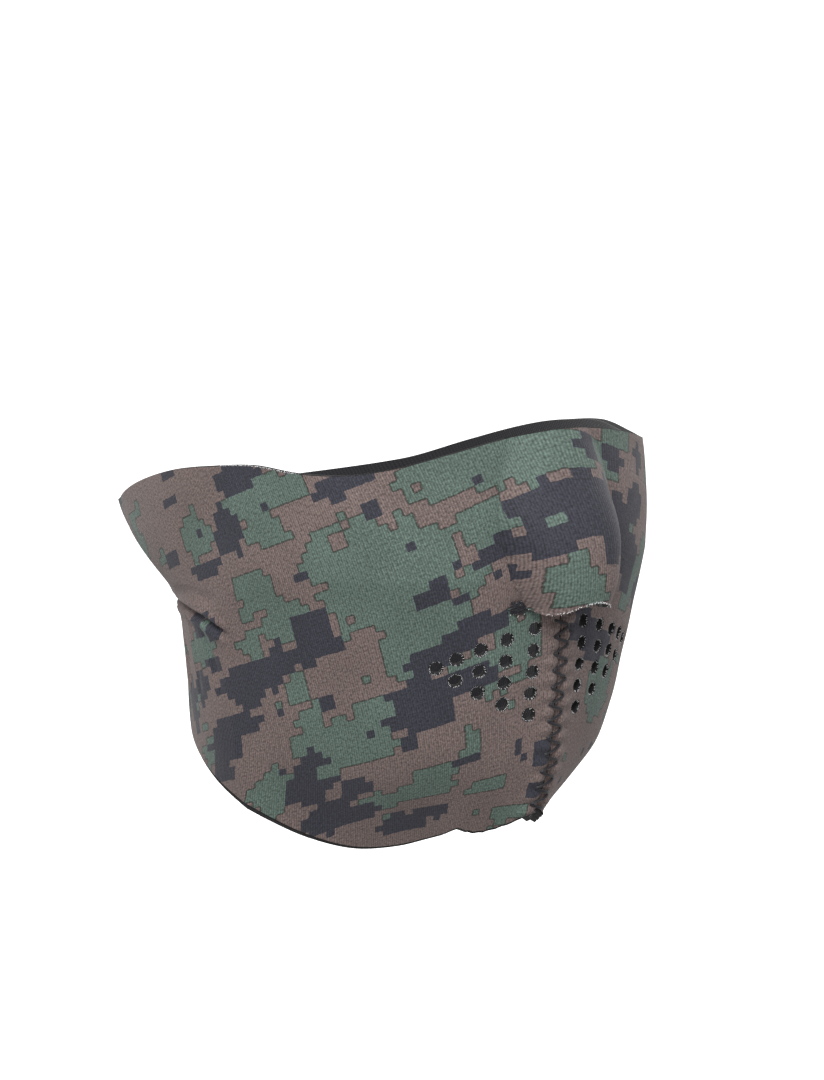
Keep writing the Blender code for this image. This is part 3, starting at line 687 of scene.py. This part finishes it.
def solid_look(name, colour, light, size, depth, roughness, sheen=0.0):
    """Foam, thread or plastic: two tones and a bump of soft noise, size metres across."""
    tree, shader = material(name, roughness, sheen=sheen, specular=0.35)
    place = node(tree, "TexCoord").outputs["Object"]
    grain = noise(tree, place, size, 3.0)
    share = node(tree, "MapRange", {0: grain, 1: 0.35, 2: 0.7}).outputs[0]
    tree.links.new(blended(tree, share, linear(*colour), linear(*light)), shader.inputs["Base Color"])
    uneven = spread(tree, grain, roughness - 0.12, min(roughness + 0.12, 1.0))
    tree.links.new(uneven, shader.inputs["Roughness"])
    bump(tree, shader, grain, depth)


MATERIALS = {}
CELL, OUTLINE = 0.0027, 0.00028
WALE, COURSE, KNIT_DEPTH = 0.00076, 0.00060, 0.00007
WAVER, WAVER_SIZE = 0.0007, 0.0016
DYE_SIZE, SPECK_SIZE, NAP_SIZE = 0.022, 0.00075, 0.0005
BROWN, GREEN, BLACK = linear(101, 88, 85), linear(80, 95, 88), linear(47, 47, 56)
# The print is laid out over these places along the cloth, and is free past them. It is free in two sizes of
# patch, and the small one is rare.
LAID_OUT, LAID_OUT_BLEND, KEEP_OUT = (-0.140, 0.046), 0.02, 9.0
RAGGED, RAGGED_SIZE, STRAY = 1.1, 0.0075, 0.16
FREE_SIZE, FREE_STRETCH, FREE_SLOPE = 0.017, 0.6, 11.0
BLACK_LEVEL, GREEN_LEVEL = 0.59, 0.50
SMALL_SIZE, SMALL_LEVEL = 0.0085, 0.76
# The laid out patches: angle in degrees, then height, half width and half height in millimetres.
BLACK_PATCHES = (
    (-75, -5, 10, 5.5), (-77, -23, 6, 9), (-100, -37, 5.5, 3.5), (-86, -37, 7, 2.8), (-47, -4, 11.5, 3.2),
    (-40, -12, 3, 3), (-54, -51, 7, 7), (-54, -58, 10, 5), (-64, -64, 5.5, 6), (-74, -72, 13, 7),
    (-75, -80, 5, 4), (-80, -88, 9.5, 4.5), (-87, -96, 7, 9), (-90, -106, 5.5, 5), (-104, -88, 5, 10),
    (-95, -77, 6, 4.5), (-28, -38, 6, 3.4), (-100, -8, 4, 2.4), (-98, -17, 3.4, 2.2),
    (-86, -57, 2.6, 7.5), (-93, -57, 2.6, 5), (-87, -69, 4.2, 3.2), (-2, -9, 16, 6.5), (9, -19, 9, 13),
    (-10, -22, 21, 4.2), (-12, -11, 3.6, 3.4), (8, 4, 4, 3.2), (18, -2, 4, 5), (-12, -33, 3, 2.6),
    (-16, -33, 2.3, 2.2), (-20, -51, 12, 5), (-28, -60, 8, 4), (-29, -75, 12, 10), (-20, -67, 11.5, 3.4),
    (5, -53, 5, 5), (12, -60, 10, 6.5), (-2, -93, 5.5, 5), (-8, -92, 2.4, 2.4), (-20, -95, 6, 2),
    (-32, -88, 2.8, 2.5), (-32, -119, 8, 6), (-24, -114, 8, 3.2), (-2, -105, 3.8, 3.6), (31, -90, 7, 6),
    (-58, -98, 5.5, 4.5), (-60, -107, 8.5, 8), (-56, -118, 8, 7), (-46, -106, 6.5, 6),
    (-44, -115, 5.5, 4.2), (-52, -77, 2.6, 2.6), (17, -26, 7, 14), (25, -18, 6, 6), (22, -38, 5, 9),
    (32, -50, 7, 5), (30, -4, 4, 5),
)
GREEN_PATCHES = (
    (-88, -26, 8, 8), (-66, -10, 18, 5.5), (-66, -21, 7, 7), (-70, -42, 9, 7.5), (-62, -49, 9, 8),
    (-38, -32, 21, 19), (-29, -49, 14, 10), (-53, -32, 5, 5), (-60, -22, 4, 3.4), (-52, -23, 4, 3),
    (-92, -64, 8, 7.5), (-72, -61, 4, 8), (-30, 0, 11, 4.2), (-18, 4, 23, 7.5), (-4, 4, 17, 6.5),
    (-18, -17, 8, 7.5), (-27, -8, 5, 2.6), (-6, -15, 8, 3.2), (-5, -34, 8, 7), (0, -41, 4, 3.4),
    (-20, -33, 4, 4.4), (-22, -39, 3.4, 3), (24, -43, 7, 10), (14, -2, 9, 6), (-32, -57, 11, 9.5),
    (-10, -56, 9, 11), (-17, -62, 8, 5), (-23, -63, 4, 3), (-14, -70, 4.5, 3.4), (16, -78, 10, 11),
    (-40, -80, 7, 8), (-18, -88, 3.4, 3), (-18, -93, 4, 3), (-60, -73, 4.5, 6), (-56, -83, 6, 5.5),
    (-52, -89, 15, 6.5), (-42, -91, 10, 5.5), (-52, -97, 4.5, 9), (-72, -110, 9, 10), (-96, -102, 6.5, 6),
    (-98, -93, 3.4, 2.6), (-101, -83, 5.5, 3.6), (-25, -99, 9, 4.2), (-28, -105, 13, 3.8),
    (-40, -111, 7, 5.4), (-36, -118, 3.4, 3.4), (-13, -104, 7.5, 2.6), (-6, -115, 8.5, 3.6),
    (-102, -36, 6.5, 3.4), (30, -38, 4, 8), (21, 5, 7, 5), (38, -14, 5, 6), (36, -70, 6, 12),
)
printed_cloth()
plain_cloth("lining_knit", (22, 22, 25), (44, 44, 49), 0.0009, 0.00009, 0.25)
plain_cloth("tape_weave", (24, 24, 28), (50, 50, 56), 0.0014, 0.00014, 0.15)
solid_look("foam", (20, 20, 22), (42, 41, 43), 0.0006, 0.00012, 0.9)
solid_look("black_thread", (14, 14, 18), (40, 40, 48), 0.0004, 0.00005, 0.5, 0.1)
solid_look("white_fibre", (205, 205, 208), (240, 240, 240), 0.0006, 0.00002, 0.6)
solid_look("loop_pile", (26, 26, 30), (66, 66, 74), 0.0015, 0.00003, 0.8, 0.4)
solid_look("hook_nylon", (22, 22, 26), (60, 60, 68), 0.0012, 0.00003, 0.4)


# ---- camera, light and floor ----
CAMERA_TURN, CAMERA_CLIMB, CAMERA_AWAY = math.radians(40), math.radians(10), 1.8
FRAME_HEIGHT = 0.3575
AIM_RIGHT, AIM_DOWN = 0.01125, 0.0364
FLOOR_Z, FLOOR_REACH, FLOOR_GLOW = -0.30, 14.0, 0.55
LIGHT_AIM = Vector((0, 0, -0.05))


def add_camera():
    level = math.cos(CAMERA_CLIMB)
    back = Vector((-math.sin(CAMERA_TURN) * level, -math.cos(CAMERA_TURN) * level, math.sin(CAMERA_CLIMB)))
    right = Vector((math.cos(CAMERA_TURN), -math.sin(CAMERA_TURN), 0))
    up = back.cross(right)
    data = bpy.data.cameras.new("camera")
    data.sensor_fit = "VERTICAL"
    data.sensor_height = 36.0
    data.lens = data.sensor_height * CAMERA_AWAY / FRAME_HEIGHT
    camera = bpy.data.objects.new("camera", data)
    turned = Matrix((right, up, back)).transposed()
    place = right * AIM_RIGHT - up * AIM_DOWN + back * CAMERA_AWAY
    camera.matrix_world = Matrix.Translation(place) @ turned.to_4x4()
    bpy.context.scene.collection.objects.link(camera)
    bpy.context.scene.camera = camera


def add_light(name, place, size, power):
    data = bpy.data.lights.new(name, "AREA")
    data.shape, data.size, data.energy = "DISK", size, power
    light = bpy.data.objects.new(name, data)
    light.location = place
    light.rotation_euler = (LIGHT_AIM - Vector(place)).to_track_quat("-Z", "Y").to_euler()
    bpy.context.scene.collection.objects.link(light)


def add_world():
    """Even studio light, brighter from above."""
    world = bpy.data.worlds.new("studio")
    world.use_nodes = True
    tree = world.node_tree
    up = node(tree, "SeparateXYZ", {0: node(tree, "TexCoord").outputs["Generated"]}).outputs[2]
    strength = node(tree, "MapRange", {0: up, 1: -0.5, 2: 0.9, 3: 0.60, 4: 1.00}).outputs[0]
    background = tree.nodes["Background"]
    background.inputs[0].default_value = (1, 1, 1, 1)
    tree.links.new(strength, background.inputs[1])
    bpy.context.scene.world = world


def add_floor():
    corners = [(x * FLOOR_REACH, y * FLOOR_REACH, FLOOR_Z) for x, y in ((-1, -1), (1, -1), (1, 1), (-1, 1))]
    shader = material("floor", 0.9)[1]
    shader.inputs["Base Color"].default_value = (0.85, 0.85, 0.85, 1)
    shader.inputs["Emission Color"].default_value = (1, 1, 1, 1)
    shader.inputs["Emission Strength"].default_value = FLOOR_GLOW
    floor = mesh_piece("floor", corners, [(0, 1, 2, 3)], ["floor"])
    floor.visible_diffuse = False
    floor.visible_glossy = False


def add_stage():
    bpy.context.scene.view_settings.view_transform = "Standard"
    add_world()
    add_light("key", (-1.3, -1.1, 1.3), 1.0, 42)
    add_light("top", (0.1, -0.1, 1.9), 1.2, 4)
    add_light("rim", (1.6, 0.6, 0.8), 1.0, 6)
    add_floor()


# ---- the pieces ----
RANDOM = np.random.default_rng(7)


def hang(piece, body, slot, *replaced):
    """Hangs the piece on its body and hides the CAD nodes it replaces; slot, its finish, is not used. The
    straps and the tab hang on no body: their place is baked into their points.
    """
    if body == "closure_tab":
        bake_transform(piece)
    elif body == "right_strap":
        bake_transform(piece)
    elif body == "left_strap":
        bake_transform(piece)
    else:
        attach(piece, body)
    if replaced:
        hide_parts(*replaced)


LAYERS = (
    ("print_cloth", "outer_fabric", "camo_fabric", OUTER, ("print_cloth", "lining_knit", "foam"), CLOTH_TRIM),
    ("foam", "foam_core", "neoprene_core", CORE, ("foam", "foam", "foam"), 0.0),
    ("inner_cloth", "lining", "black_lining", LINING, ("foam", "lining_knit", "lining_knit"), CLOTH_TRIM / 2),
)


def add_laminate():
    """The four cut panels, each of print cloth, foam and inner cloth."""
    for panel in ("face", "left_strap", "right_strap", "closure_tab"):
        for layer, node_end, slot, depths, looks, trim in LAYERS:
            if panel == "face":
                grid = face_grid(trim, HOLE_RADIUS + trim * 0.15)
            elif panel == "left_strap":
                grid = band_grid(HINGE_ANGLE, LEFT_STRAP_END, trim)
            elif panel == "right_strap":
                grid = band_grid(-HINGE_ANGLE, -TAB_ANGLE, trim)
            else:
                grid = band_grid(-TAB_ANGLE, -TAB_END, trim)
            name = panel.replace("closure_", "") + "_" + layer
            piece, area = sheet_piece(name, grid, depths, looks, strap_lift(grid[0]))
            hang(piece, panel, slot, panel + "_" + node_end)
            used = touched(grid[3])


def triangle_wave(turns):
    return np.arcsin(np.sin(2 * np.pi * turns)) * 2 / np.pi


def add_seam():
    """Zigzag thread over both sides of the chin seam, two strands side by side."""
    start, end = 0.25, (SEAM_TOP - SEAM_BOTTOM) / STITCH_PERIOD
    turns = np.linspace(start, end, int((end - start) * 24) + 1)
    for name, node_name, depth, sign in (
        ("chin_zigzag_outside", "chin_seam_outer_thread", OUTER[1] + THREAD_RADIUS, 1),
        ("chin_zigzag_inside", "chin_seam_inner_thread", LINING[0] - THREAD_RADIUS, -1),
    ):
        runs = []
        for strand in (-1, 1):
            side = triangle_wave(turns)
            uneven = 1 + 0.10 * np.sin(turns * 5.1) + 0.06 * np.sin(turns * 11.7)
            x = -STITCH_REACH * side * uneven
            z = SEAM_TOP - turns * STITCH_PERIOD + strand * THREAD_RADIUS * 0.8
            drawn_in = 0.00055 * np.abs(side) ** 10 - 0.00015 * (1 - side**2)
            angle = np.degrees(x / CLOTH_RADIUS)
            runs.append(on_sheet(angle, z, depth - sign * drawn_in, follow=np.abs(side) ** 2))
        piece = cord_piece(name, runs, THREAD_RADIUS, "black_thread")
        hang(piece, "face", "thread", node_name)


def add_bar_tacks():
    """Crowded satin stitches over both ends of the slit, with loose strands over them."""
    for side, word in ((-1, "right"), (1, "left")):
        along = np.linspace(*TACK_ANGLES, TACK_STITCHES)
        runs = []
        for k in range(TACK_STITCHES - 1):
            t = np.linspace(0, 1, 7)
            ends = 0.0018 + RANDOM.uniform(-0.0004, 0.0006, 2)
            z = SLIT_Z + (1 if k % 2 else -1) * (-ends[0] + t * (ends[0] + ends[1]))
            angle = side * (along[k] + t * (along[1] - along[0]) * 2)
            rise = THREAD_RADIUS + 0.0004 * np.sin(np.pi * t) + RANDOM.uniform(0, 0.0003)
            runs.append(on_sheet(angle, z, OUTER[1] + rise, follow=0.3))
        for _ in range(TACK_STRANDS):
            t = np.linspace(0, 1, 9)
            middle, turn = RANDOM.uniform(9.6, 12.0), RANDOM.uniform(0, np.pi)
            reach_a, reach_z = RANDOM.uniform(0.8, 2.0), RANDOM.uniform(0.0010, 0.0026)
            angle = side * (middle + reach_a * (t - 0.5) * 2 * np.cos(turn) + 0.5 * np.sin(3 * np.pi * t))
            z = SLIT_Z + reach_z * (t - 0.5) * 2 * np.sin(turn) + 0.0004 * np.cos(3 * np.pi * t)
            rise = 0.0007 + 0.0005 * np.sin(np.pi * t)
            runs.append(on_sheet(angle, z, OUTER[1] + rise, follow=0.3))
        piece = cord_piece("bar_tack_stitches_" + word, runs, THREAD_RADIUS * 0.8, "black_thread")
        hang(piece, "face", "thread", "slit_bar_tack_" + word)


def fibres(places, reach):
    """Short straight hairs at places, each (point, direction)."""
    runs = []
    for point, direction in places:
        long = reach * RANDOM.uniform(0.5, 1.3)
        bow = unit(RANDOM.normal(0, 1, 3)) * long * 0.15
        runs.append([point, point + direction * long / 2 + bow, point + direction * long])
    return runs


def add_fray():
    """White knit ends under the flap, at the tacks, round the breathing holes and on part of the top edge."""
    places = []
    for angle in np.linspace(-9.0, 9.0, FLAP_FIBRES):
        z = float(through(FLAP_EDGE, abs(angle))) + CLOTH_TRIM / 2
        depth = RANDOM.uniform(OUTER[0] - 0.0002, OUTER[1])
        point = on_sheet(angle, z, depth, upper=1.0)
        away = np.array((RANDOM.normal(0, 1.0), RANDOM.normal(-0.2, 0.5), RANDOM.normal(-0.6, 0.4)))
        places.append((point, unit(away)))
    for _ in range(TACK_FIBRES):
        angle, z = RANDOM.uniform(9.0, 12.6) * RANDOM.choice((-1, 1)), SLIT_Z + RANDOM.normal(0, 0.0014)
        point = on_sheet(angle, z, OUTER[1] + 0.0006, upper=0.0, follow=0.3)
        places.append((point, unit(RANDOM.normal(0, 1, 3))))
    flap = cord_piece("flap_edge_fray", fibres(places, 0.0007), 0.00008, "white_fibre", 4)
    hang(flap, "face", "thread")
    places = []
    for angle, z in HOLES:
        radius = float(head_radius(angle, z))
        start = RANDOM.uniform(0, 2 * np.pi)
        for turn in start + np.arange(HOLE_FIBRES) * 2 * np.pi / HOLE_FIBRES:
            if RANDOM.uniform() < 0.25:
                continue
            rim = HOLE_RADIUS * RANDOM.uniform(0.96, 1.10)
            a, h = angle + math.degrees(rim * math.cos(turn) / radius), z + rim * math.sin(turn)
            b, g = angle + math.degrees(rim * 0.8 * math.cos(turn) / radius), z + rim * 0.8 * math.sin(turn)
            point = on_sheet(a, h, OUTER[1] - 0.00002)
            inwards = on_sheet(b, g, OUTER[0])
            places.append((point, unit(inwards - point + RANDOM.normal(0, 0.00012, 3))))
    rims = cord_piece("breathing_hole_fray", fibres(places, 0.00050), 0.00006, "white_fibre", 4)
    hang(rims, "face", "thread")
    places = []
    for angle in np.linspace(*FRAYED_EDGE, EDGE_FIBRES):
        z = float(top_edge(angle)) - CLOTH_TRIM * TOP_TRIM_SHARE
        point = on_sheet(angle, z, RANDOM.uniform(*OUTER))
        places.append((point, unit(np.array((RANDOM.normal(0, 0.8), RANDOM.normal(0, 0.8), 0.6)))))
    top = cord_piece("top_edge_fray", fibres(places, 0.0005), 0.00006, "white_fibre", 4)
    hang(top, "face", "thread")


def pad_grid(start, end):
    angles = np.array(sorted(steps(start, end, PITCH)))
    z = np.linspace(PAD_LOW, PAD_HIGH, PAD_ROWS + 1)
    angle, z = np.meshgrid(angles, z, indexing="ij")
    return angle, z, np.zeros_like(z), np.ones((len(angles) - 1, PAD_ROWS), bool)


def box_stitches(start, end, depth, outwards):
    """A line of separate stitches inside the edges of a pad."""
    inset_angle, inset = 1.4, 0.0022
    low, high = sorted((start, end))
    low, high = low + inset_angle, high - inset_angle
    bottom, top = PAD_LOW + inset, PAD_HIGH - inset
    corners = ((low, bottom), (high, bottom), (high, top), (low, top))
    runs = []
    for (a0, z0), (a1, z1) in zip(corners, corners[1:] + corners[:1]):
        metres = math.hypot(math.radians(a1 - a0) * PAD_RADIUS, z1 - z0)
        count = int(metres / PAD_STITCH)
        for k in range(count):
            t = (k + 0.5 + 0.42 * np.linspace(-1, 1, 7)) / count
            angle, z = a0 + (a1 - a0) * t, z0 + (z1 - z0) * t
            rise = THREAD_RADIUS * 1.2 - 0.00035 * np.linspace(-1, 1, 7) ** 6
            runs.append(on_sheet(angle, z, depth + outwards * rise, lift=strap_lift(angle)))
    return runs


def field(start, end, pitch, inset=0.0042):
    """Places over a pad inside its stitches, in rows set half a step apart."""
    low, high = sorted((start, end))
    edge = math.degrees(inset / PAD_RADIUS)
    for i, z in enumerate(np.arange(PAD_LOW + inset, PAD_HIGH - inset, pitch)):
        shift = (i % 2) * pitch / 2
        for angle in np.arange(low + edge, high - edge, math.degrees(pitch / PAD_RADIUS)):
            yield angle + math.degrees(shift / PAD_RADIUS), z


def add_loop_pad():
    """A tape on the left strap, covered with soft loops for the hooks to hold."""
    grid = pad_grid(*LOOP_SPAN)
    piece = sheet_piece("loop_pad_tape", grid, LOOP_BACKING, ("tape_weave",) * 3)[0]
    hang(piece, "left_strap", "loop_tape", "loop_patch")
    runs = []
    t = np.linspace(0, np.pi, 7)
    for angle, z in field(*LOOP_SPAN, LOOP_PITCH):
        wide, turn = RANDOM.uniform(0.0004, 0.0009), RANDOM.uniform(0, np.pi)
        tall = (LOOP_TOP - LOOP_BACKING[1]) * RANDOM.uniform(0.55, 1.0)
        out = np.cos(t) * wide
        angles = angle + np.degrees(out * np.cos(turn) / PAD_RADIUS) + RANDOM.uniform(-0.4, 0.4)
        rise = LOOP_BACKING[1] - 0.00008 + np.sin(t) * tall
        runs.append(on_sheet(angles, z + out * np.sin(turn), rise, follow=0.0))
    pile = cord_piece("loop_pad_pile", runs, 0.00007, "loop_pile", 3)
    hang(pile, "left_strap", "loop_tape")
    runs = box_stitches(*LOOP_SPAN, LOOP_BACKING[1], 1) + box_stitches(*LOOP_SPAN, LINING[0], -1)
    stitches = cord_piece("loop_pad_stitches", runs, THREAD_RADIUS, "black_thread")
    hang(stitches, "left_strap", "thread", "loop_patch_stitching")


def add_hook_pad():
    """A tape under the closure tab, covered with stiff hooks."""
    first, last = (-angle for angle in HOOK_SPAN)
    grid = pad_grid(first, last)
    piece = sheet_piece("hook_pad_tape", grid, HOOK_BACKING, ("tape_weave",) * 3, strap_lift(grid[0]))[0]
    hang(piece, "closure_tab", "hook_tape", "hook_patch")
    runs = []
    for angle, z in field(first, last, HOOK_PITCH):
        up = (HOOK_BACKING[0] - HOOK_TIP) * np.array((-0.1, 0.45, 0.85, 1.0, 0.85, 0.62))
        out = np.array((0, 0.0, 0.00012, 0.00035, 0.00056, 0.00060)) * (1 if RANDOM.uniform() < 0.5 else -1)
        angles = angle + np.degrees(out / PAD_RADIUS)
        runs.append(on_sheet(angles, z + 0 * out, HOOK_BACKING[0] - up, lift=strap_lift(angles), follow=0.0))
    hooks = cord_piece("hook_pad_hooks", runs, 0.00010, "hook_nylon", 4)
    hang(hooks, "closure_tab", "hook_tape")
    runs = box_stitches(first, last, HOOK_BACKING[0], -1) + box_stitches(first, last, OUTER[1], 1)
    stitches = cord_piece("hook_pad_stitches", runs, THREAD_RADIUS, "black_thread")
    hang(stitches, "closure_tab", "thread", "hook_patch_stitching")


add_camera()
add_stage()
add_laminate()
add_seam()
add_bar_tacks()
add_fray()
add_loop_pad()
add_hook_pad()
